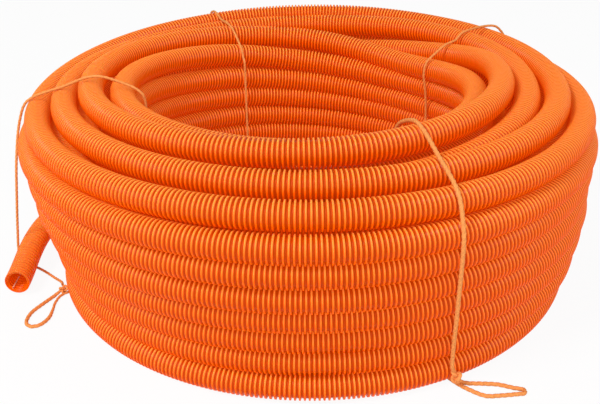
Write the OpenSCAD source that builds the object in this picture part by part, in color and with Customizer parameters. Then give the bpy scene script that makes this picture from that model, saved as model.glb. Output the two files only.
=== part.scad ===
// Coil of 25 mm corrugated electrical conduit, tied with twine and lying flat.
// Z is up and z = 0 is the floor. The origin is on the coil's own axis.

/* [Conduit] */
// Outside diameter over the ribs
conduit_d = 25; // [24.8:0.1:25.2]
// Clear bore through the valleys
bore_d = 18.4; // [17:0.1:19]
// Outside diameter in the valleys
valley_d = 20.8; // [20:0.1:22]
// Distance from one rib to the next
rib_pitch = 4; // [3:0.25:5]
// Length of a rib's flat crest
crest_w = 1.8; // [1:0.1:2.4]
// Ribs on the straight stretch at the free end
end_ribs = 9; // [5:1:10]

/* [Coil] */
// Radius of the outermost turn that stands on the floor
foot_r = 256; // [254:0.5:258]
// Distance of the straight free end from the coil's axis
end_x = 294; // [292:1:298]

/* [Draw wire] */
// Diameter of the wire inside the conduit
wire_d = 1.2; // [0.8:0.1:2]

/* [Twine] */
// Diameter of the tying twine
twine_d = 3.2; // [2.8:0.1:3.2]

/* [Hidden] */
$fn = 64;

tube_r = conduit_d / 2;
twine_r = twine_d / 2;

// Turns that show, as [radius, height] of the tube's centre
inner_r = 178.5;
row_step = 25.5;
OUTER_TURNS = [[foot_r, tube_r], [248, 36], [254, 60], [262, 83.5], [268, 107.5], [270.5, 132], [271, 156.5]];
TOP_TURNS = [[264, 180], [237, 191], [208, 203]];
INNER_TURNS = [for (row = [7:-1:0]) [inner_r, tube_r + row * row_step]];
FLOOR_TURNS = [[205, tube_r], [231, tube_r]];
TURNS = concat(OUTER_TURNS, TOP_TURNS, INNER_TURNS, FLOOR_TURNS);

// The free end leaves the foot turn on an arc and ends in a straight stretch.
// The arc is a little thinner, so that its surface meets the straight one in a step.
end_y = -60;
end_straight = end_ribs * rib_pitch;
end_arc_r = (end_x * end_x + end_y * end_y - foot_r * foot_r) / (2 * (end_x - foot_r));
end_arc_x = end_arc_r - end_x;
leave_angle = atan2(-end_y, -end_arc_x) + 8;
arc_step = 0.4;
// It rests on the twine that passes under it
end_z = tube_r + twine_d + 0.2;

// The wire lies low in the bore
wire_angle = 232;
wire_arm = (bore_d - wire_d) / 2 - 0.2;
wire_in = 34;

// Angles about the coil's axis at which the twine passes under the coil
UNDER_ANGLES = [-158, -63, 117, 40];
groove_d = twine_d + 0.5;

// Routes of the twine as [angle, radius, height] of its centre, from the loose end to the knot
LEFT_ROUTE = [[-159.5, 273, 6], [-157, 284, 1.8], [-155, 300, 1.8], [-152, 310, 1.8], [-149.5, 311, 1.8],
    [-149, 306, 1.8], [-150, 296, 1.8], [-152.5, 285, 1.8], [-156, 276, 1.8], [-158, 262, 1.7],
    [-158, 171, 1.7], [-157.5, 165, 7], [-155.5, 164, 192], [-156, 167.5, 202], [-158, 175.5, 206.5],
    [-163, 209, 218.2], [-168, 240, 206.5], [-172, 272.5, 194.5], [-173, 286, 175], [-172, 295, 130],
    [-172, 303, 80], [-173, 308.5, 42], [-173.5, 311.5, 15], [-173.5, 309, 4], [-173, 302, 1.7],
    [-169, 288, 1.7], [-163.5, 276, 3], [-161.5, 274, 9]];
FRONT_ROUTE = [[-61.5, 274.5, 5], [-60, 283, 1.8], [-57, 293, 1.8], [-55, 306, 1.8], [-54, 313, 2],
    [-55.5, 314, 1.8], [-58, 308, 1.8], [-60.5, 302, 1.8], [-62, 294, 1.8], [-63, 282, 1.8], [-63, 262, 1.7],
    [-63, 171, 1.7], [-63, 165, 7], [-62, 164, 192], [-62.5, 167.5, 202], [-63, 175.5, 206.5],
    [-65, 209, 218.2], [-64.5, 240, 206.5], [-64.5, 272.5, 194.5], [-65, 286.5, 172], [-65, 286, 130],
    [-63.5, 278.5, 70], [-62.5, 273, 18], [-62, 272.5, 11]];
BACK_LEFT_ROUTE = [[116, 272, 9], [116.5, 270, 3], [117, 262, 1.7], [117, 171, 1.7], [117, 165, 7],
    [117, 164, 192], [116.5, 167.5, 202], [116.5, 175.5, 206.5], [117, 209, 218.2], [116, 240, 206.5],
    [115.5, 272.5, 194.5], [115, 286.5, 172], [115, 286, 130], [115.5, 278.5, 70], [116, 273, 22], [116, 272.5, 14]];
BACK_RIGHT_ROUTE = [[39, 272, 9], [39.5, 270, 3], [40, 262, 1.7], [40, 171, 1.7], [40, 165, 7],
    [37.5, 164, 192], [37.5, 167.5, 202], [38, 175.5, 206.5], [41, 209, 218.2], [44, 240, 208],
    [46, 270, 201], [47, 290, 196], [47, 301, 176], [46, 297, 130], [43, 285, 70], [40, 273, 22], [39.5, 272.5, 14]];

module conduit_coil() {
    color("darkorange") difference() {
        rotate_extrude($fn = 180) {
            polygon(TURNS);
            for (turn = TURNS) translate(turn) circle(d = conduit_d);
        }
        for (angle = UNDER_ANGLES) rotate(angle) translate([150, 0, twine_r + 0.1]) rotate([0, 90, 0])
            cylinder(d = groove_d, h = 130, $fn = 24);
    }
}

// The ribs of the straight stretch stand between these grooves
module rib_grooves() {
    groove_w = rib_pitch - crest_w;
    for (k = [0:end_ribs - 2]) translate([0, 0, crest_w + k * rib_pitch]) difference() {
        cylinder(d = conduit_d + 2, h = groove_w);
        translate([0, 0, -1]) cylinder(d = valley_d, h = groove_w + 2);
    }
}

// A round bar along the end's arc
module end_arc(d, from) {
    translate([end_arc_x, end_y, end_z]) rotate(from) rotate_extrude(angle = 180 - from, $fn = 180)
        translate([end_arc_r, 0]) circle(d = d - arc_step);
}

module conduit_end() {
    color("darkorange") difference() {
        union() {
            end_arc(conduit_d, leave_angle);
            translate([-end_x, end_y - end_straight, end_z]) rotate([-90, 0, 0]) difference() {
                cylinder(d = conduit_d, h = end_straight + 1);
                rib_grooves();
            }
        }
        end_arc(bore_d, leave_angle + 10);
        translate([-end_x, end_y - end_straight - 1, end_z]) rotate([-90, 0, 0])
            cylinder(d = bore_d, h = end_straight + 3);
    }
}

module draw_wire() {
    color("silver")
        translate([-end_x + wire_arm * cos(wire_angle), end_y - end_straight, end_z + wire_arm * sin(wire_angle)])
            rotate([-90, 0, 0]) cylinder(d = wire_d, h = wire_in, $fn = 24);
}

function unit(v) = v / norm(v);
function around(p) = [p[1] * cos(p[0]), p[1] * sin(p[0]), p[2]];

// Direction of the route at point k
function heading(path, k) = unit(path[min(k + 1, len(path) - 1)] - path[max(k - 1, 0)]);

// A side direction for each point, carried along so that the tube never twists
function sides(path, k, side) = let (along = heading(path, k), s = unit(side - (side * along) * along))
    k == len(path) - 1 ? [s] : concat([s], sides(path, k + 1, s));

// Twine of eight flats swept along a route
module twine(route) {
    path = [for (p = route) around(p)];
    side = sides(path, 0, [0.1, 0.2, 1]);
    last = len(path) - 1;
    points = [for (k = [0:last], a = [22.5:45:359]) path[k]
        + twine_r * (cos(a) * side[k] + sin(a) * cross(heading(path, k), side[k]))];
    walls = [for (k = [0:last - 1], j = [0:7]) [8 * k + j, 8 * k + 8 + j, 8 * k + 8 + (j + 1) % 8, 8 * k + (j + 1) % 8]];
    ends = [[for (j = [0:7]) j], [for (j = [7:-1:0]) 8 * last + j]];
    color("sandybrown") polyhedron(points, concat(walls, ends), convexity = 6);
}

module tie_left() twine(LEFT_ROUTE);
module tie_front() twine(FRONT_ROUTE);
module tie_back_left() twine(BACK_LEFT_ROUTE);
module tie_back_right() twine(BACK_RIGHT_ROUTE);

conduit_coil();
conduit_end();
draw_wire();
tie_left();
tie_front();
tie_back_left();
tie_back_right();
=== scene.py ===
"""Corrugated conduit coil: ribbed turns, open free end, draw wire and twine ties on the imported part."""
import math

import bpy
import numpy as np
from mathutils import Matrix


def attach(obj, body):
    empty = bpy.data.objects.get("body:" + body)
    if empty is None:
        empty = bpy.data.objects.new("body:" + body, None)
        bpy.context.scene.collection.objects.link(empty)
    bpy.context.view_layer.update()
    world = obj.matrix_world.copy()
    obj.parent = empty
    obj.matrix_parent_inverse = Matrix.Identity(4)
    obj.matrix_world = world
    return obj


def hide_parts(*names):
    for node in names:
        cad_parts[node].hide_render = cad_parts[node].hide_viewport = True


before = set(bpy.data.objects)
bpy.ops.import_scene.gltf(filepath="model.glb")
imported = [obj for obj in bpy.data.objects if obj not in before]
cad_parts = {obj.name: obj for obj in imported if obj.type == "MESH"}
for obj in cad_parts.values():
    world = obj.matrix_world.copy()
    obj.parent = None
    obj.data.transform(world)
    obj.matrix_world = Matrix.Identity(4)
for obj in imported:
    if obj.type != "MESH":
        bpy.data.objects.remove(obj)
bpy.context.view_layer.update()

bl_info = {
    "name": "Corrugated conduit coil",
    "version": (1, 0, 0),
    "blender": (4, 5, 0),
    "location": "View3D > Sidebar > Conduit coil",
    "description": "Dresses the packed coil of corrugated conduit with ribbed turns, ties and finishes",
    "category": "Object",
}

MM = 0.001
BODY = "root"
TAU = 2 * math.pi

# The winding runs counter-clockwise from the foot of the eye to the outer foot.
# Each turn has a radius and a height, in millimetres, at six stations:
# left, front, right, and three round the back, where it steps to the next place.
STATIONS = (180, 270, 360, 410, 450, 490)
TURNS = (
    ((178.5, 12.5), (178.5, 12.5), (178.5, 12.5), (178.5, 12.5), (178.5, 17), (178.5, 26)),
    ((178.5, 38), (178.5, 38), (178.5, 38), (178.5, 38), (178.5, 42), (178.5, 52)),
    ((178.5, 63.5), (178.5, 63.5), (178.5, 63), (178.5, 61), (178.5, 66), (178.5, 76)),
    ((178.5, 89), (178.5, 89), (178.5, 86), (178.5, 81), (178.5, 88), (178.5, 100)),
    ((179, 114.5), (178.5, 114.5), (178, 108), (178.5, 102), (178.5, 110), (179, 124)),
    ((180, 140), (178.5, 140), (176, 131), (177, 122), (178.5, 132), (180, 148)),
    ((183, 165.5), (178.5, 165.5), (172, 156), (174, 145), (179, 156), (183, 176)),
    ((186, 190), (179, 190.5), (167, 183), (173, 167), (196, 178), (212, 188)),
    ((214.5, 197), (207, 202), (190, 201), (202, 174), (210, 158), (214, 153)),
    ((224, 168), (221, 176), (215.5, 191), (228, 190), (237, 184), (240, 184)),
    ((242, 188), (239, 189), (245, 190), (258, 190), (264, 191), (266, 186)),
    ((267, 178), (268, 177.5), (269, 175), (271, 171), (270, 167), (271, 163)),
    ((274.5, 155), (279, 154.5), (272, 153), (272, 148), (270, 145), (272, 140)),
    ((270.5, 129), (275.5, 131), (269, 132), (266, 125), (259, 123), (263, 117)),
    ((266, 103.5), (272, 107), (269, 110.5), (267, 103), (263, 99), (262, 92)),
    ((259, 78), (267, 84), (271, 88), (260, 81), (252, 78), (252, 68)),
    ((252.5, 53.5), (260, 61), (269, 65), (262, 59), (257, 56), (256, 46)),
    ((247, 32), (256.5, 36.5), (264, 40), (254, 36), (245, 35), (244, 28)),
    ((247, 12.5), (260.5, 12.5), (255.5, 14.5), (257, 12.5), (256, 12.5), (256, 12.5)),
)
# The way the open side of each turn faces: 0 is outwards, 90 up and 180 towards the eye
FACING = (180, 180, 180, 180, 175, 170, 160, 120, 90, 88, 75, 50, 15, 0, 0, 0, 0, 0, -10)
PIECES = (("inner_turns_low", 0, 4), ("inner_turns_high", 4, 8), ("top_turns", 8, 12),
          ("outer_turns_high", 12, 15), ("outer_turns_low", 15, 19))
LEAVE_ANGLE = 115.3
FLOOR_HEIGHT = 12.5
# Rings that the winding hides: two on the floor, one under the top, and plain ones that close the middle
FLOOR_TURNS = ((205, 12.5), (231, 12.5))
DEEP_TURN = (247, 158.5)
PLAIN_RADIUS, PLAIN_STEPS, PLAIN_SIDES = 12.0, 73, 10
HIDDEN_TURNS = tuple((radius, 38 + 25.5 * row) for radius in (204, 229) for row in range(4)) + ((203, 140),)

# The free end: an arc that leaves the outer foot turn, then a straight stretch
END_X, END_Y, END_Z = -294, -60, 15.9
FOOT_R = 256
END_ARC_R = (END_X ** 2 + END_Y ** 2 - FOOT_R ** 2) / (2 * (-END_X - FOOT_R))
END_ARC_X = END_X + END_ARC_R
END_STRAIGHT = 36
END_RISE_LENGTH = 120
END_ARCH, END_ARCH_SKEW = 13, 2.2
BORE_DEPTH = 120
RIM_ROUND, RIM_SHARP = 0.25, 0.15
BORE_RELIEF = 0.35
# Near the mouth the ribs lose a share of their depth, over a stretch that starts so far from it,
# and their valleys lose their painted shade over the last ribs
FADE_SHARE, FADE_START, FADE_LENGTH = 0.57, 200, 70
PLAIN_RIBS = 32
# Where a rib's crest starts and ends and where its valley starts and ends, in ribs
RIB_SHARES = (0.0, 0.32, 0.46, 0.86)
CREST_MIDDLE = 0.16
WIRE_ANGLE, WIRE_ARM, WIRE_IN = 232, 8.4, 34
WIRE_SIDES = 12

# Lowest height of the twine's middle, and its routes as [angle, radius, height] from the loose end to the knot
LOWEST_TWINE = 2.0
LEFT_ROUTE = (
    (-159.5, 267, 6), (-158.5, 277, 2.2), (-156.5, 289, 2.2), (-154.5, 301, 2.2), (-152.5, 308, 2.2),
    (-151, 310, 2.2), (-149.8, 307, 2.2), (-149.6, 299, 2.2), (-151, 289, 2.2), (-153.5, 282, 2.2),
    (-156, 277, 2.2), (-158.5, 269, 2), (-159.5, 256, 2), (-160, 171, 2), (-160, 165, 7),
    (-160.5, 165.5, 190), (-160.5, 169, 201.5), (-162.5, 182, 209.5), (-165, 209, 217.3),
    (-169, 240, 204.5), (-171.5, 276, 189), (-172.5, 287.5, 168), (-172, 296, 130), (-172, 303, 80),
    (-173, 308.5, 42), (-173.5, 311.5, 15), (-173.5, 309, 4), (-173, 302, 1.7), (-170, 286, 1.7),
    (-166, 273, 2.5), (-162.5, 266.5, 6), (-160.5, 266, 8))
FRONT_ROUTE = (
    (-63, 273, 5), (-61, 279, 2.1), (-57, 293, 2.1), (-55.3, 305, 2.1), (-54.4, 311.5, 2.1),
    (-54.9, 315, 2.1), (-56, 312.5, 2.1), (-58.5, 306, 2.1), (-60.5, 300, 2.1), (-62, 285, 2.1),
    (-62.8, 272, 2.2), (-63, 262, 2), (-63, 171, 2), (-63, 165, 7), (-62, 160.5, 188),
    (-62.5, 164, 199.5), (-63, 177, 210), (-64, 203, 218), (-65, 241, 204.5), (-66, 278, 189),
    (-66.2, 290, 165), (-66.2, 292, 150), (-65.3, 284, 82), (-64.3, 276, 24), (-63.5, 275.5, 14))
BACK_LEFT_ROUTE = (
    (116, 272, 9), (116.5, 270, 3), (117, 262, 1.7), (117, 171, 1.7), (117, 165, 7),
    (117, 163.5, 166), (117, 167, 171), (117, 170.5, 179), (117, 178, 185.5), (117, 195, 197),
    (117, 208, 200.5), (116.5, 235, 199.5), (116, 263, 202.5), (116, 276.5, 197.5), (115.5, 280.5, 186),
    (115, 290.5, 160), (115, 290.5, 143), (115.5, 280, 76), (116, 273, 22), (116, 272.5, 14))
BACK_RIGHT_ROUTE = (
    (37, 272, 9), (36.5, 270, 3), (36, 262, 1.7), (36, 171, 1.7), (36, 165, 7),
    (35, 162.5, 120), (34.5, 158.5, 149), (34.5, 155, 170), (34.5, 158.5, 182), (34.5, 168, 188.5),
    (35, 187, 196.5), (35.5, 203, 198.5), (36, 214, 204), (36, 226, 206), (36, 256, 205.5),
    (35.5, 269, 202), (35, 281, 187), (35, 288, 162), (35, 288.5, 147), (35.5, 282, 81),
    (36.5, 276, 24), (37, 273.5, 14))
# Each tie as its node, its route, the knot's [angle, radius, height], its width as a share of the
# twine's diameter, and the length of its loose loop
TIES = (("tie_left", LEFT_ROUTE, (-159.2, 266, 6.5), 0.9, 112),
        ("tie_front", FRONT_ROUTE, (-63.4, 277, 12), 1.25, 0),
        ("tie_back_left", BACK_LEFT_ROUTE, (116, 273, 15), 0.9, 0),
        ("tie_back_right", BACK_RIGHT_ROUTE, (37.3, 273, 15), 0.9, 0))

CAMERA_PLACE = (0.0, -0.8717, 0.4903)
CAMERA_PITCH, CAMERA_YAW, CAMERA_ROLL = 26.49, 0.65, 0.7
CAMERA_LENS, CAMERA_SENSOR = 54.27, 36.0
# Place and side of each lamp, and half the floor's side, in metres
KEY_LAMP = ((-1.0, -1.0, 1.7), 0.55)
FILL_LAMP = ((1.6, -0.8, 1.3), 1.4)
FRONT_LAMP = ((0.3, -3.6, 2.0), 1.8)
LAMP_AIM = (0, 0, 0.1)
FLOOR_HALF = 6.0
# Share of the floor that shows as plain white to the camera: the rest keeps the shadow
FLOOR_GLOW = 0.93


# ---------------------------------------------------------------- settings

class ConduitSettings(bpy.types.PropertyGroup):
    """Sizes and colours of the conduit."""
    diameter: bpy.props.FloatProperty(
        name="Diameter", description="Outside diameter over the ribs", default=25 * MM, unit="LENGTH")
    valley: bpy.props.FloatProperty(
        name="Valley diameter", description="Outside diameter between the ribs", default=20.8 * MM,
        unit="LENGTH")
    pitch: bpy.props.FloatProperty(
        name="Rib pitch", description="Distance from one rib to the next", default=4 * MM, unit="LENGTH")
    wall: bpy.props.FloatProperty(
        name="Wall", description="Thickness of the wall at the cut end", default=0.8 * MM, unit="LENGTH")
    sides: bpy.props.IntProperty(
        name="Sides", description="Flats round a turn", default=14, min=8, max=32)
    colour: bpy.props.FloatVectorProperty(
        name="Colour", description="Body colour of the plastic", subtype="COLOR", default=(0.96, 0.135, 0.0))
    deep: bpy.props.FloatVectorProperty(
        name="Deep colour", description="Colour of the batches that came out darker", subtype="COLOR",
        default=(0.92, 0.11, 0.0))
    # Painted shade: the valleys between the ribs are coloured darker, where shade falls in them.
    painted_valley_shade: bpy.props.FloatVectorProperty(
        name="Valley colour", description="Colour between the ribs, where no light scuffs it", subtype="COLOR",
        default=(0.47, 0.046, 0.0))
    # Painted highlight: the crests on the upper side of each tube are coloured paler, where light from above
    # falls on them.
    painted_highlight: bpy.props.FloatVectorProperty(
        name="Bloom colour", description="Colour of the crests where light and handling have paled them",
        subtype="COLOR", default=(1.0, 0.31, 0.05))
    glow: bpy.props.FloatProperty(
        name="Glow", description="Share of the light that wanders inside the thin wall", default=0.2,
        min=0, max=1)
    # Painted glow: an even orange emission over all the plastic, though it is no lamp, to lift the shaded
    # creases.
    painted_glow: bpy.props.FloatProperty(
        name="Shine", description="Light that comes back out of the thin wall in the creases", default=0.16,
        min=0)
    roughness: bpy.props.FloatProperty(
        name="Roughness", description="How dull the plastic is", default=0.34, min=0, max=1)


class TieSettings(bpy.types.PropertyGroup):
    """Sizes and colours of the twine."""
    diameter: bpy.props.FloatProperty(
        name="Twine diameter", description="Diameter of the twine", default=3.2 * MM, unit="LENGTH")
    lay: bpy.props.FloatProperty(
        name="Lay", description="Length of one turn of the strands", default=16 * MM, unit="LENGTH")
    colour: bpy.props.FloatVectorProperty(
        name="Twine colour", description="Colour of the fibres", subtype="COLOR", default=(1.0, 0.33, 0.085))


class WireSettings(bpy.types.PropertyGroup):
    """Size and colour of the draw wire."""
    diameter: bpy.props.FloatProperty(
        name="Wire diameter", description="Diameter of the draw wire", default=1.2 * MM, unit="LENGTH")
    colour: bpy.props.FloatVectorProperty(
        name="Wire colour", description="Colour of the galvanised wire", subtype="COLOR",
        default=(1.0, 0.8, 0.58))


class StageSettings(bpy.types.PropertyGroup):
    """Floor and lamps."""
    floor: bpy.props.FloatVectorProperty(
        name="Floor colour", description="Colour of the floor", subtype="COLOR", default=(0.82, 0.82, 0.82))
    key: bpy.props.FloatProperty(
        name="Key lamp", description="Strength of the key lamp", default=24.0, subtype="POWER")
    fill: bpy.props.FloatProperty(
        name="Fill lamp", description="Strength of the fill lamp", default=6.0, subtype="POWER")
    front: bpy.props.FloatProperty(
        name="Front lamp", description="Strength of the lamp beside the camera", default=54.0, subtype="POWER")
    sky: bpy.props.FloatProperty(
        name="Sky", description="Strength of the soft light all round", default=0.45)


def settings():
    """The scene's groups of settings."""
    scene = bpy.context.scene
    return scene.coil_conduit, scene.coil_tie, scene.coil_wire, scene.coil_stage


# ---------------------------------------------------------------- shapes

def unit(v):
    """Each row divided by its own length."""
    return v / np.linalg.norm(v, axis=-1, keepdims=True)


def smooth(t):
    """3t^2 - 2t^3 between 0 and 1, and flat beyond."""
    t = np.clip(t, 0, 1)
    return t * t * (3 - 2 * t)


def spline(knots, values, at):
    """Cubic through the values: on each span the Hermite cubic whose end slopes are those of the chord between
    the neighbours."""
    knots, values, at = np.asarray(knots, float), np.asarray(values, float), np.asarray(at, float)
    slope = np.gradient(values, knots, axis=0)
    slope[1:-1] = (values[2:] - values[:-2]) / (knots[2:] - knots[:-2])[:, None]
    i = np.clip(np.searchsorted(knots, at, side="right") - 1, 0, len(knots) - 2)
    span = (knots[i + 1] - knots[i])[:, None]
    t = (at - knots[i])[:, None] / span
    a, b = 2 * t ** 3 - 3 * t ** 2 + 1, -2 * t ** 3 + 3 * t ** 2
    c, d = t ** 3 - 2 * t ** 2 + t, t ** 3 - t ** 2
    return a * values[i] + b * values[i + 1] + c * span * slope[i] + d * span * slope[i + 1]


def around(angle, radius, height):
    """Points at an angle in degrees, a radius and a height about the coil's axis."""
    a = np.radians(angle)
    return np.stack([radius * np.cos(a), radius * np.sin(a), height + 0 * a], -1)


def winding(theta):
    """Centreline of the winding at angles that run on from turn to turn: a cubic takes radius and height from
    station to station, and two sines let them wander a little, as a hand-coiled tube does. Nothing sinks below
    the height at which a turn lies on the floor."""
    knots = [s + 360 * n for n in range(len(TURNS)) for s in STATIONS]
    values = [place for turn in TURNS for place in turn]
    radius, height = spline(knots, values, theta).T
    a = np.radians(theta)
    radius = radius + 0.5 * np.sin(0.73 * a + 1.1) + 0.35 * np.sin(1.31 * a + 0.4)
    wander = 0.45 * np.sin(0.57 * a + 2.0) * smooth((height - 13) / 20)
    height = np.maximum(height + wander, FLOOR_HEIGHT)
    return around(theta, radius, height)


def facing(theta):
    """Direction of the open side of the winding, in degrees."""
    knots = [180 + 360 * n for n in range(len(FACING))]
    return np.interp(theta, np.array(knots) + 90, FACING)


def side_angles(count, towards):
    """Angles round a tube, close together about the open side and wide apart behind it: 180 (0.62 u + 0.38 u^3)
    from it for u from -1 to 1."""
    u = 2 * np.arange(count) / count - 1
    spread = 180 * (0.62 * u + 0.38 * u ** 3)
    return np.atleast_1d(towards)[:, None] + spread[None, :]


def tube(name, centre, out, up, radius, angles, along, caps=True):
    """A tube: ring k has its points at centre + radius (cos a out + sin a up) for its angles a. Quads join
    the rings, and a flat face closes each end. The UV map holds the distance along in ribs and the angle in
    turns."""
    rings, sides = len(centre), angles.shape[1]
    angles = np.broadcast_to(angles, (rings, sides))
    a = np.radians(angles)[..., None]
    spoke = np.cos(a) * out[:, None] + np.sin(a) * up[:, None]
    points = centre[:, None] + np.reshape(radius, (rings, 1, 1)) * spoke
    i, j = np.meshgrid(np.arange(rings - 1), np.arange(sides), indexing="ij")
    k = (j + 1) % sides
    loops = np.stack([i * sides + j, (i + 1) * sides + j, (i + 1) * sides + k, i * sides + k], -1).reshape(-1)
    starts = 4 * np.arange((rings - 1) * sides)
    turn = angles / 360
    turn_next = turn[:, (np.arange(sides) + 1) % sides] + (np.arange(sides) == sides - 1)
    v = np.stack([turn[:-1], turn[1:], turn_next[1:], turn_next[:-1]], -1).reshape(-1)
    along = np.asarray(along, float)
    u = np.stack([along[i], along[i + 1], along[i + 1], along[i]], -1).reshape(-1)
    if caps:
        last = (rings - 1) * sides
        loops = np.concatenate([loops, np.arange(sides)[::-1], last + np.arange(sides)])
        starts = np.concatenate([starts, [len(u), len(u) + sides]])
        u = np.concatenate([u, np.full(sides, along[0]), np.full(sides, along[-1])])
        v = np.concatenate([v, turn[0][::-1], turn[-1]])
    return build(name, points.reshape(-1, 3) * MM, loops, starts, np.stack([u, v], -1))


def build(name, points, loops, starts, uv):
    """A smooth-shaded object at the origin from points, face corners, where each face starts, and each
    corner's UV."""
    mesh = bpy.data.meshes.new(name)
    mesh.vertices.add(len(points))
    mesh.vertices.foreach_set("co", points.astype(np.float32).ravel())
    mesh.loops.add(len(loops))
    mesh.loops.foreach_set("vertex_index", loops.astype(np.int32))
    mesh.polygons.add(len(starts))
    mesh.polygons.foreach_set("loop_start", starts.astype(np.int32))
    mesh.uv_layers.new(name="conduit").data.foreach_set("uv", uv.astype(np.float32).ravel())
    mesh.update(calc_edges=True)
    mesh.polygons.foreach_set("use_smooth", np.ones(len(starts), bool))
    mesh.validate()
    piece = bpy.data.objects.new(name, mesh)
    bpy.context.scene.collection.objects.link(piece)
    return piece


def rib_rings(first, last, c):
    """Places of the rings in ribs, from rib first to rib last, and their radii: each rib is a crest and a
    valley with a steep flank between. One more ring at the valley's radius closes the last rib."""
    shares = np.array(RIB_SHARES)
    crest, valley = c.diameter / 2 / MM, c.valley / 2 / MM
    places = np.append((np.arange(first, last)[:, None] + shares).ravel(), last)
    radii = np.append(np.tile([crest, crest, valley, valley], last - first), valley)
    return places, radii


def ribbed(name, path_of, start, end, facing_of, sides):
    """Ribbed tube on part of a path that is a function of an angle: the path's length is summed over steps of
    half a degree, and the rings are set on it by the rib pitch."""
    c = settings()[0]
    pitch = c.pitch / MM
    fine = np.linspace(start, end, int((end - start) * 2))
    path = path_of(fine)
    length = np.concatenate([[0], np.cumsum(np.linalg.norm(np.diff(path, axis=0), axis=1))])
    ribs = int(length[-1] / pitch)
    places, radii = rib_rings(0, ribs, c)
    theta = np.interp(places * length[-1] / ribs, length, fine)
    centre = path_of(theta)
    along = path_of(theta + 0.5) - path_of(theta - 0.5)
    out = unit(np.cross(along, (0, 0, 1)))
    up = unit(np.cross(out, along))
    return tube(name, centre, out, up, radii, side_angles(sides, facing_of(theta)), places)


# ---------------------------------------------------------------- finishes

def node(tree, kind, **inputs):
    """A shader node with the given input values."""
    made = tree.nodes.new(kind)
    for key, value in inputs.items():
        made.inputs[key.replace("_", " ")].default_value = value
    return made


def blend(tree, share, low, high):
    """A mix of two colours, each given as a value or as a socket."""
    mix = tree.nodes.new("ShaderNodeMix")
    mix.data_type = "RGBA"
    tree.links.new(share, mix.inputs["Factor"])
    for key, colour in (("A", low), ("B", high)):
        if isinstance(colour, tuple):
            mix.inputs[key].default_value = colour
        else:
            tree.links.new(colour, mix.inputs[key])
    return mix.outputs["Result"]


def rib_crest(tree, ribs):
    """1 on a rib's crest and 0 in its valley, where the painted shade goes, from the distance along in ribs:
    how far its fraction lies from the crest's middle."""
    value = ribs
    steps = (("ADD", 0.5 - CREST_MIDDLE), ("FRACT", 0.0), ("SUBTRACT", 0.5), ("ABSOLUTE", 0.0))
    for operation, number in steps:
        step = tree.nodes.new("ShaderNodeMath")
        step.operation = operation
        step.inputs[1].default_value = number
        tree.links.new(value, step.inputs[0])
        value = step.outputs[0]
    ramp = node(tree, "ShaderNodeMapRange", From_Min=0.12, From_Max=0.24, To_Min=1.0, To_Max=0.0)
    tree.links.new(value, ramp.inputs["Value"])
    return ramp.outputs["Result"]


def upper_side(tree, turn):
    """Where the painted highlight goes: 1 on the upper side of a tube, where light from above falls, and 0
    under it, from the angle round it in turns: the sine of the angle.
    """
    angle = node(tree, "ShaderNodeMath")
    angle.operation = "MULTIPLY"
    angle.inputs[1].default_value = TAU
    tree.links.new(turn, angle.inputs[0])
    height = node(tree, "ShaderNodeMath")
    height.operation = "SINE"
    tree.links.new(angle.outputs[0], height.inputs[0])
    ramp = node(tree, "ShaderNodeMapRange", From_Min=-0.1, From_Max=0.85, To_Min=0.0, To_Max=1.0)
    tree.links.new(height.outputs[0], ramp.inputs["Value"])
    return ramp.outputs["Result"]


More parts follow.
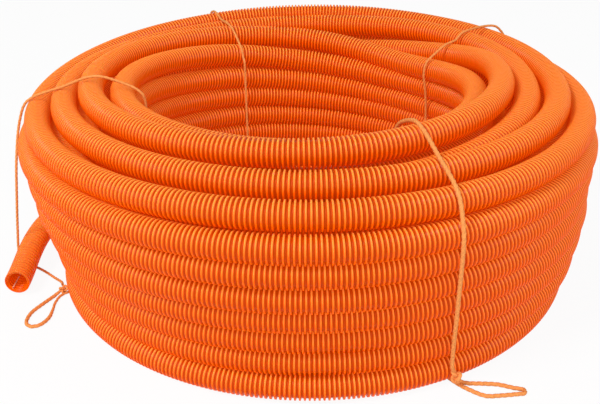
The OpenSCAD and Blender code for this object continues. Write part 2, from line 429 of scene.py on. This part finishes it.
def plastic():
    """Orange plastic: slow drifts of colour, small tone steps from rib to rib, painted shade in the valleys, a
    painted highlight on the crests of the upper side, and a painted glow: an even emission that stands for
    the light that comes back out of the thin wall."""
    name = "ribbed_plastic"
    if name in bpy.data.materials:
        return bpy.data.materials[name]
    c = settings()[0]
    m = bpy.data.materials.new(name)
    m.use_nodes = True
    t = m.node_tree
    link = t.links.new
    shader = t.nodes["Principled BSDF"]
    shader.inputs["IOR"].default_value = 1.46
    shader.inputs["Specular IOR Level"].default_value = 0.12
    # Painted glow: the plastic emits a little orange light of its own over its whole surface, to lift the
    # creases.
    shader.inputs["Emission Color"].default_value = (1.0, 0.1, 0.0, 1)
    shader.inputs["Emission Strength"].default_value = c.painted_glow
    place = t.nodes.new("ShaderNodeTexCoord")
    drift = node(t, "ShaderNodeTexNoise", Scale=9.0, Detail=3.0)
    link(place.outputs["Object"], drift.inputs["Vector"])
    uv = t.nodes.new("ShaderNodeUVMap")
    uv.uv_map = "conduit"
    split = t.nodes.new("ShaderNodeSeparateXYZ")
    link(uv.outputs["UV"], split.inputs["Vector"])
    rib = node(t, "ShaderNodeMath")
    rib.operation = "FLOOR"
    link(split.outputs["X"], rib.inputs[0])
    tone = t.nodes.new("ShaderNodeTexWhiteNoise")
    tone.noise_dimensions = "1D"
    link(rib.outputs[0], tone.inputs["W"])
    share = t.nodes.new("ShaderNodeMath")
    share.operation = "MULTIPLY_ADD"
    share.inputs[1].default_value = 0.35
    link(tone.outputs["Value"], share.inputs[0])
    link(drift.outputs["Fac"], share.inputs[2])
    body = blend(t, share.outputs[0], (*c.deep, 1), (*c.colour, 1))
    # Painted light in the base colour: paler crests on the upper side as a painted highlight, darker valleys as
    # painted shade.
    crest = rib_crest(t, split.outputs["X"])
    painted_highlight = blend(t, upper_side(t, split.outputs["Y"]), body, (*c.painted_highlight, 1))
    colour_with_painted_light = blend(t, crest, (*c.painted_valley_shade, 1), painted_highlight)
    link(colour_with_painted_light, shader.inputs["Base Color"])
    shader.inputs["Subsurface Weight"].default_value = c.glow
    shader.inputs["Subsurface Radius"].default_value = (1.0, 0.16, 0.02)
    shader.inputs["Subsurface Scale"].default_value = 0.009
    scuff = node(t, "ShaderNodeTexNoise", Scale=140.0, Detail=4.0)
    link(place.outputs["Object"], scuff.inputs["Vector"])
    rough = node(t, "ShaderNodeMapRange")
    rough.inputs["To Min"].default_value = c.roughness - 0.08
    rough.inputs["To Max"].default_value = c.roughness + 0.1
    link(scuff.outputs["Fac"], rough.inputs["Value"])
    link(rough.outputs["Result"], shader.inputs["Roughness"])
    bump = node(t, "ShaderNodeBump", Strength=0.12, Distance=0.0004)
    link(scuff.outputs["Fac"], bump.inputs["Height"])
    link(bump.outputs["Normal"], shader.inputs["Normal"])
    return m


def fibre():
    """Dull orange twine: fibres run along the strands, with paler and darker ones side by side."""
    name = "twine_fibre"
    if name in bpy.data.materials:
        return bpy.data.materials[name]
    c = settings()[1]
    m = bpy.data.materials.new(name)
    m.use_nodes = True
    t = m.node_tree
    link = t.links.new
    shader = t.nodes["Principled BSDF"]
    shader.inputs["Roughness"].default_value = 0.62
    shader.inputs["Specular IOR Level"].default_value = 0.2
    uv = t.nodes.new("ShaderNodeUVMap")
    uv.uv_map = "conduit"
    lie = t.nodes.new("ShaderNodeMapping")
    lie.inputs["Scale"].default_value = (0.5, 26, 1)
    link(uv.outputs["UV"], lie.inputs["Vector"])
    hair = node(t, "ShaderNodeTexNoise", Scale=1.0, Detail=3.0)
    link(lie.outputs["Vector"], hair.inputs["Vector"])
    ramp = t.nodes.new("ShaderNodeValToRGB")
    ramp.color_ramp.elements[0].position = 0.3
    ramp.color_ramp.elements[1].position = 0.72
    ramp.color_ramp.elements[0].color = (*(x * 0.62 for x in c.colour), 1)
    ramp.color_ramp.elements[1].color = (*(min(1, x * 1.2) for x in c.colour), 1)
    link(hair.outputs["Fac"], ramp.inputs["Fac"])
    link(ramp.outputs["Color"], shader.inputs["Base Color"])
    bump = node(t, "ShaderNodeBump", Strength=0.5, Distance=0.0003)
    link(hair.outputs["Fac"], bump.inputs["Height"])
    link(bump.outputs["Normal"], shader.inputs["Normal"])
    return m


def steel():
    """Galvanised steel wire with faint drawn lines."""
    name = "draw_wire_steel"
    if name in bpy.data.materials:
        return bpy.data.materials[name]
    c = settings()[2]
    m = bpy.data.materials.new(name)
    m.use_nodes = True
    t = m.node_tree
    link = t.links.new
    shader = t.nodes["Principled BSDF"]
    shader.inputs["Metallic"].default_value = 0.1
    place = t.nodes.new("ShaderNodeTexCoord")
    lie = t.nodes.new("ShaderNodeMapping")
    lie.inputs["Scale"].default_value = (4000, 60, 4000)
    link(place.outputs["Object"], lie.inputs["Vector"])
    line = node(t, "ShaderNodeTexNoise", Scale=1.0, Detail=2.0)
    link(lie.outputs["Vector"], line.inputs["Vector"])
    ramp = t.nodes.new("ShaderNodeValToRGB")
    ramp.color_ramp.elements[0].color = (*(x * 0.7 for x in c.colour), 1)
    ramp.color_ramp.elements[1].color = (*c.colour, 1)
    link(line.outputs["Fac"], ramp.inputs["Fac"])
    link(ramp.outputs["Color"], shader.inputs["Base Color"])
    rough = node(t, "ShaderNodeMapRange")
    rough.inputs["To Min"].default_value = 0.3
    rough.inputs["To Max"].default_value = 0.5
    link(line.outputs["Fac"], rough.inputs["Value"])
    link(rough.outputs["Result"], shader.inputs["Roughness"])
    return m


def finish_piece(piece, material):
    """Gives a piece its material and lets it ride on the body."""
    piece.data.materials.append(material)
    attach(piece, BODY)
    return piece


# ---------------------------------------------------------------- operators

class COIL_OT_stage(bpy.types.Operator):
    """Camera, floor, lamps and soft light."""
    bl_idname = "coil.stage"
    bl_label = "Stage and camera"

    def execute(self, context):
        s = settings()[3]
        scene = context.scene
        scene.view_settings.view_transform = "Standard"
        camera = bpy.data.objects.new("camera", bpy.data.cameras.new("camera"))
        scene.collection.objects.link(camera)
        camera.data.sensor_width = CAMERA_SENSOR
        camera.data.lens = CAMERA_LENS
        turn = (Matrix.Rotation(math.radians(CAMERA_YAW), 4, "Z")
                @ Matrix.Rotation(math.radians(90 - CAMERA_PITCH), 4, "X")
                @ Matrix.Rotation(math.radians(-CAMERA_ROLL), 4, "Z"))
        camera.matrix_world = Matrix.Translation(CAMERA_PLACE) @ turn
        scene.camera = camera
        self.floor(s)
        self.sky(scene, s)
        self.lamp("key_lamp", *KEY_LAMP, s.key)
        self.lamp("fill_lamp", *FILL_LAMP, s.fill)
        self.lamp("front_lamp", *FRONT_LAMP, s.front)
        return {"FINISHED"}

    def floor(self, s):
        """A level floor that shows white to the camera and keeps a soft shadow."""
        points = FLOOR_HALF * np.array([(-1, -1, 0), (1, -1, 0), (1, 1, 0), (-1, 1, 0)], float)
        floor = build("floor", points, np.arange(4), np.array([0]), points[:, :2])
        m = bpy.data.materials.new("floor_paint")
        m.use_nodes = True
        t = m.node_tree
        link = t.links.new
        paint = t.nodes["Principled BSDF"]
        paint.inputs["Base Color"].default_value = (*s.floor, 1)
        paint.inputs["Roughness"].default_value = 0.9
        glow = node(t, "ShaderNodeEmission", Strength=1.0)
        path = t.nodes.new("ShaderNodeLightPath")
        seen = t.nodes.new("ShaderNodeMath")
        seen.operation = "MAXIMUM"
        link(path.outputs["Is Camera Ray"], seen.inputs[0])
        link(path.outputs["Is Glossy Ray"], seen.inputs[1])
        share = t.nodes.new("ShaderNodeMath")
        share.operation = "MULTIPLY"
        share.inputs[1].default_value = FLOOR_GLOW
        link(seen.outputs[0], share.inputs[0])
        mix = t.nodes.new("ShaderNodeMixShader")
        link(share.outputs[0], mix.inputs[0])
        link(paint.outputs[0], mix.inputs[1])
        link(glow.outputs[0], mix.inputs[2])
        link(mix.outputs[0], t.nodes["Material Output"].inputs["Surface"])
        floor.data.materials.append(m)

    def sky(self, scene, s):
        """Soft light all round, seen as white by the camera and by rays that pass through things."""
        world = bpy.data.worlds.new("soft_sky")
        world.use_nodes = True
        t = world.node_tree
        link = t.links.new
        light = t.nodes["Background"]
        light.inputs["Strength"].default_value = s.sky
        light.inputs["Color"].default_value = (1, 1, 1, 1)
        white = node(t, "ShaderNodeBackground", Color=(1, 1, 1, 1), Strength=1.0)
        path = t.nodes.new("ShaderNodeLightPath")
        seen = t.nodes.new("ShaderNodeMath")
        seen.operation = "MAXIMUM"
        link(path.outputs["Is Camera Ray"], seen.inputs[0])
        link(path.outputs["Is Transmission Ray"], seen.inputs[1])
        mix = t.nodes.new("ShaderNodeMixShader")
        link(seen.outputs[0], mix.inputs[0])
        link(light.outputs[0], mix.inputs[1])
        link(white.outputs[0], mix.inputs[2])
        link(mix.outputs[0], t.nodes["World Output"].inputs["Surface"])
        scene.world = world

    def lamp(self, name, place, size, power):
        """A square soft lamp aimed at the middle of the coil."""
        lamp = bpy.data.objects.new(name, bpy.data.lights.new(name, "AREA"))
        lamp.data.size = size
        lamp.data.energy = power
        bpy.context.scene.collection.objects.link(lamp)
        back = unit(np.array(place, float) - LAMP_AIM)
        side = unit(np.cross((0, 0, 1), back))
        turn = Matrix(np.stack([side, np.cross(back, side), back], 1).tolist()).to_4x4()
        lamp.matrix_world = Matrix.Translation(place) @ turn


class COIL_OT_free_end(bpy.types.Operator):
    """Free end with its open bore and thin cut rim. Rings run along the skin to the mouth, round the rim and
    back down the bore, and the ribs grow shallow by 3t^2 - 2t^3 on the way to the mouth."""
    bl_idname = "coil.free_end"
    bl_label = "Free end"

    def execute(self, context):
        c = settings()[0]
        pitch, wall = c.pitch / MM, c.wall / MM
        arc = math.radians(180 - LEAVE_ANGLE) * END_ARC_R
        length = arc + END_STRAIGHT
        ribs = int(length / pitch)
        places, radii = rib_rings(0, ribs, c)
        outer = length - places[::-1] * pitch
        bore = places * pitch <= BORE_DEPTH
        inner = length - places[bore] * pitch
        inner[0] -= RIM_SHARP
        outer[-1] -= RIM_ROUND
        depth = 1 - FADE_SHARE * smooth((outer - length + FADE_START) / FADE_LENGTH)
        skin = radii.max() - (radii.max() - radii[::-1]) * depth
        s = np.concatenate([outer, [length, length], inner])
        inside = radii[bore] - wall
        r = np.concatenate([skin, [radii[0] - RIM_ROUND, radii[0] - wall + RIM_SHARP],
                            np.where(radii[bore] > radii.mean(), inside, inside - BORE_RELIEF)])
        centre, along = self.path(s)
        out = unit(np.cross(along, (0, 0, 1)))
        up = np.cross(out, along)
        angles = np.arange(28)[None] * 360 / 28 - 180
        along_ribs = np.minimum((s - length) / pitch + 2 * CREST_MIDDLE, 0.3 - PLAIN_RIBS) + 0.0001 * s
        piece = tube("free_end", centre, out, up, r, angles, along_ribs)
        finish_piece(piece, plastic())
        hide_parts("conduit_end")
        return {"FINISHED"}

    def path(self, s):
        """Centre and direction at distance s: an arc tangent to the foot turn, then straight on. It rises onto
        the twine under it by 3t^2 - 2t^3, and springs up by END_ARCH sin^2(pi t^END_ARCH_SKEW) for t from 0
        to 1."""
        arc = math.radians(180 - LEAVE_ANGLE) * END_ARC_R
        a = np.radians(LEAVE_ANGLE) + np.minimum(s, arc) / END_ARC_R
        on = np.maximum(s - arc, 0)
        share = np.clip(s / (arc + END_STRAIGHT), 0, 1)
        arch = END_ARCH * np.sin(np.pi * share ** END_ARCH_SKEW) ** 2
        rise = FLOOR_HEIGHT + (END_Z - FLOOR_HEIGHT) * smooth(s / END_RISE_LENGTH) + arch
        centre = np.stack([END_ARC_X + END_ARC_R * np.cos(a), END_Y + END_ARC_R * np.sin(a) - on, rise], -1)
        return centre, np.stack([-np.sin(a), np.cos(a), 0 * a], -1)


class COIL_OT_draw_wire(bpy.types.Operator):
    """Steel draw wire that lies in the bore at the mouth."""
    bl_idname = "coil.draw_wire"
    bl_label = "Draw wire"

    def execute(self, context):
        c = settings()[2]
        a = math.radians(WIRE_ANGLE)
        s = np.linspace(0, WIRE_IN, 18)
        mouth = np.array([END_X + WIRE_ARM * math.cos(a), END_Y - END_STRAIGHT, END_Z + WIRE_ARM * math.sin(a)])
        centre = mouth + (WIRE_IN - s)[:, None] * (0, 1, 0)
        out = np.tile([-1.0, 0, 0], (len(s), 1))
        up = np.tile([0.0, 0, 1], (len(s), 1))
        r = np.full(len(s), c.diameter / 2 / MM)
        r[-1] *= 0.75
        angles = np.arange(WIRE_SIDES)[None] * 360.0 / WIRE_SIDES
        piece = tube("draw_wire_stretch", centre, out, up, r, angles, s / 4)
        finish_piece(piece, steel())
        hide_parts("draw_wire")
        return {"FINISHED"}


class COIL_OT_ties(bpy.types.Operator):
    """Four ties of three-strand twine with their knots."""
    bl_idname = "coil.ties"
    bl_label = "Twine ties"

    def execute(self, context):
        c = settings()[1]
        for name, route, knot_at, share, loop in TIES:
            width = c.diameter * share
            path = self.route_path(route)
            piece = self.twine(name + "_twine", path, width, c.lay, loop)
            finish_piece(piece, fibre())
            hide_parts(name)
            knot = self.knot(name + "_knot", around(*map(float, knot_at)), math.radians(knot_at[0]), width)
            finish_piece(knot, fibre())
        return {"FINISHED"}

    def route_path(self, route):
        """Smooth curve through the route's points, sampled every 1.5 mm or so: chord length is the parameter.
        It stays high enough for the twine to lie on the floor."""
        points = around(*np.array(route, float).T)
        knots = np.concatenate([[0], np.cumsum(np.linalg.norm(np.diff(points, axis=0), axis=1))])
        count = int(knots[-1] / 1.5)
        path = spline(knots, points, np.linspace(0, knots[-1], count))
        path[:, 2] = np.maximum(path[:, 2], LOWEST_TWINE)
        return path

    def carried(self, path):
        """Two directions across a path that turn with it as little as possible."""
        along = unit(np.gradient(path, axis=0))
        side = np.empty_like(along)
        side[0] = unit(np.cross(along[0], (0.1, 0.2, 1.0)))
        for k in range(1, len(along)):
            side[k] = side[k - 1] - (side[k - 1] @ along[k]) * along[k]
            side[k] /= np.linalg.norm(side[k])
        return side, np.cross(along, side)

    def twine(self, name, path, width, lay, loop):
        """Three strands laid together: the section's radius is R (0.8 + 0.2 |cos 1.5 (a - lay)|), and turns
        once in each lay. The loose loop at the start is frayed: up to 1.35 R."""
        side, up = self.carried(path)
        length = np.concatenate([[0], np.cumsum(np.linalg.norm(np.diff(path, axis=0), axis=1))])
        sides = 15
        twist = length / (lay / MM) * 360
        angles = np.arange(sides)[None] * 360 / sides + twist[:, None]
        lobe = 0.8 + 0.2 * np.abs(np.cos(1.5 * np.radians(angles - twist[:, None])))
        frayed = 1 + 0.35 * smooth(length / 12) * smooth((loop - length) / 20)
        radius = width / 2 / MM * lobe * frayed[:, None]
        return self.lobed(name, path, side, up, radius, angles, length)

    def lobed(self, name, path, side, up, radius, angles, length):
        """A tube whose radius also varies round its section."""
        a = np.radians(angles)[..., None]
        shape = tube(name, path, side, up, np.ones(len(path)), angles - angles[:, :1], length)
        points = path[:, None] + radius[..., None] * (np.cos(a) * side[:, None] + np.sin(a) * up[:, None])
        shape.data.vertices.foreach_set("co", (points * MM).astype(np.float32).ravel())
        shape.data.update()
        return shape

    def knot(self, name, centre, turn, width):
        """Overhand knot: the trefoil (sin t + 2 sin 2t, cos t - 2 cos 2t, -1.2 sin 3t) as a closed tube."""
        t = np.linspace(0, TAU, 73)[:-1]
        size = 0.45 * width / MM
        flat = size * np.stack(
            [np.sin(t) + 2 * np.sin(2 * t), np.cos(t) - 2 * np.cos(2 * t), -1.2 * np.sin(3 * t)], -1)
        across, along = math.cos(turn), math.sin(turn)
        lift = np.array([[across, along, 0], [0, 0, 1], [-along, across, 0]])
        path = centre + flat @ lift
        closed = np.concatenate([path[-1:], path, path[:1]])
        along = unit(closed[2:] - closed[:-2])
        side = unit(np.cross(along, path - centre + (0, 0, 0.01)))
        up = np.cross(along, side)
        sides = 10
        a = np.radians(np.arange(sides) * 360 / sides)[None, :, None]
        points = path[:, None] + 0.42 * width / MM * (np.cos(a) * side[:, None] + np.sin(a) * up[:, None])
        rings = len(path)
        i, j = np.meshgrid(np.arange(rings), np.arange(sides), indexing="ij")
        n, k = (i + 1) % rings, (j + 1) % sides
        loops = np.stack([i * sides + j, n * sides + j, n * sides + k, i * sides + k], -1).reshape(-1)
        uv = np.stack([np.repeat(i.ravel(), 4) / 2, np.repeat(j.ravel(), 4) / sides], -1)
        return build(name, points.reshape(-1, 3) * MM, loops, 4 * np.arange(rings * sides), uv)


class COIL_OT_turns(bpy.types.Operator):
    """Ribbed turns that show: the eye's wall, the top and the outer wall."""
    bl_idname = "coil.turns"
    bl_label = "Visible turns"

    def execute(self, context):
        c = settings()[0]
        end = 360 * len(TURNS) + LEAVE_ANGLE + 1
        for name, first, last in PIECES:
            stop = min(180 + 360 * last, end)
            sides = c.sides - 4 if name == "inner_turns_low" else c.sides
            piece = ribbed(name, winding, 180 + 360 * first, stop, facing, sides)
            finish_piece(piece, plastic())
            if name == "top_turns":
                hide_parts("conduit_coil")
        return {"FINISHED"}


class COIL_OT_inside(bpy.types.Operator):
    """Turns that stand on the floor under the coil, and those that close its middle."""
    bl_idname = "coil.inside"
    bl_label = "Inside turns"

    def execute(self, context):
        for k, (radius, height) in enumerate(FLOOR_TURNS):
            piece = ribbed(f"floor_turn_{k + 1}", lambda a, r=radius, h=height: around(a, r, h), 0, 360,
                           lambda a: -90 + 0 * a, 10)
            finish_piece(piece, plastic())
        piece = ribbed("deep_turn", lambda a: around(a, *DEEP_TURN), 0, 360, lambda a: 90 + 0 * a, 10)
        finish_piece(piece, plastic())
        for k, (radius, height) in enumerate(HIDDEN_TURNS):
            a = np.linspace(0, 360, PLAIN_STEPS)
            out = around(a, 1.0, 0.0)
            up = np.tile([0.0, 0, 1], (PLAIN_STEPS, 1))
            angles = np.arange(PLAIN_SIDES)[None] * 360.0 / PLAIN_SIDES
            piece = tube(f"middle_turn_{k + 1}", around(a, radius, height), out, up,
                         np.full(PLAIN_STEPS, PLAIN_RADIUS), angles, a)
            finish_piece(piece, plastic())
        return {"FINISHED"}


class COIL_PT_panel(bpy.types.Panel):
    """Lists the steps that dress the coil."""
    bl_idname = "COIL_PT_panel"
    bl_label = "Conduit coil"
    bl_space_type = "VIEW_3D"
    bl_region_type = "UI"
    bl_category = "Conduit coil"

    def draw(self, context):
        for step in STEPS:
            self.layout.operator(step.bl_idname)


STEPS = (COIL_OT_stage, COIL_OT_free_end, COIL_OT_draw_wire, COIL_OT_ties, COIL_OT_turns, COIL_OT_inside)
GROUPS = (("coil_conduit", ConduitSettings), ("coil_tie", TieSettings), ("coil_wire", WireSettings),
          ("coil_stage", StageSettings))


def register():
    """Registers the settings, operators and panel."""
    for name, group in GROUPS:
        bpy.utils.register_class(group)
        setattr(bpy.types.Scene, name, bpy.props.PointerProperty(type=group))
    for kind in (*STEPS, COIL_PT_panel):
        bpy.utils.register_class(kind)


def unregister():
    """Removes what register added."""
    for kind in (COIL_PT_panel, *STEPS[::-1]):
        bpy.utils.unregister_class(kind)
    for name, group in GROUPS[::-1]:
        delattr(bpy.types.Scene, name)
        bpy.utils.unregister_class(group)


def main():
    """Registers the add-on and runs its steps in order."""
    register()
    for step in STEPS:
        group, call = step.bl_idname.split(".")
        getattr(getattr(bpy.ops, group), call)()


if __name__ == "__main__":
    main()
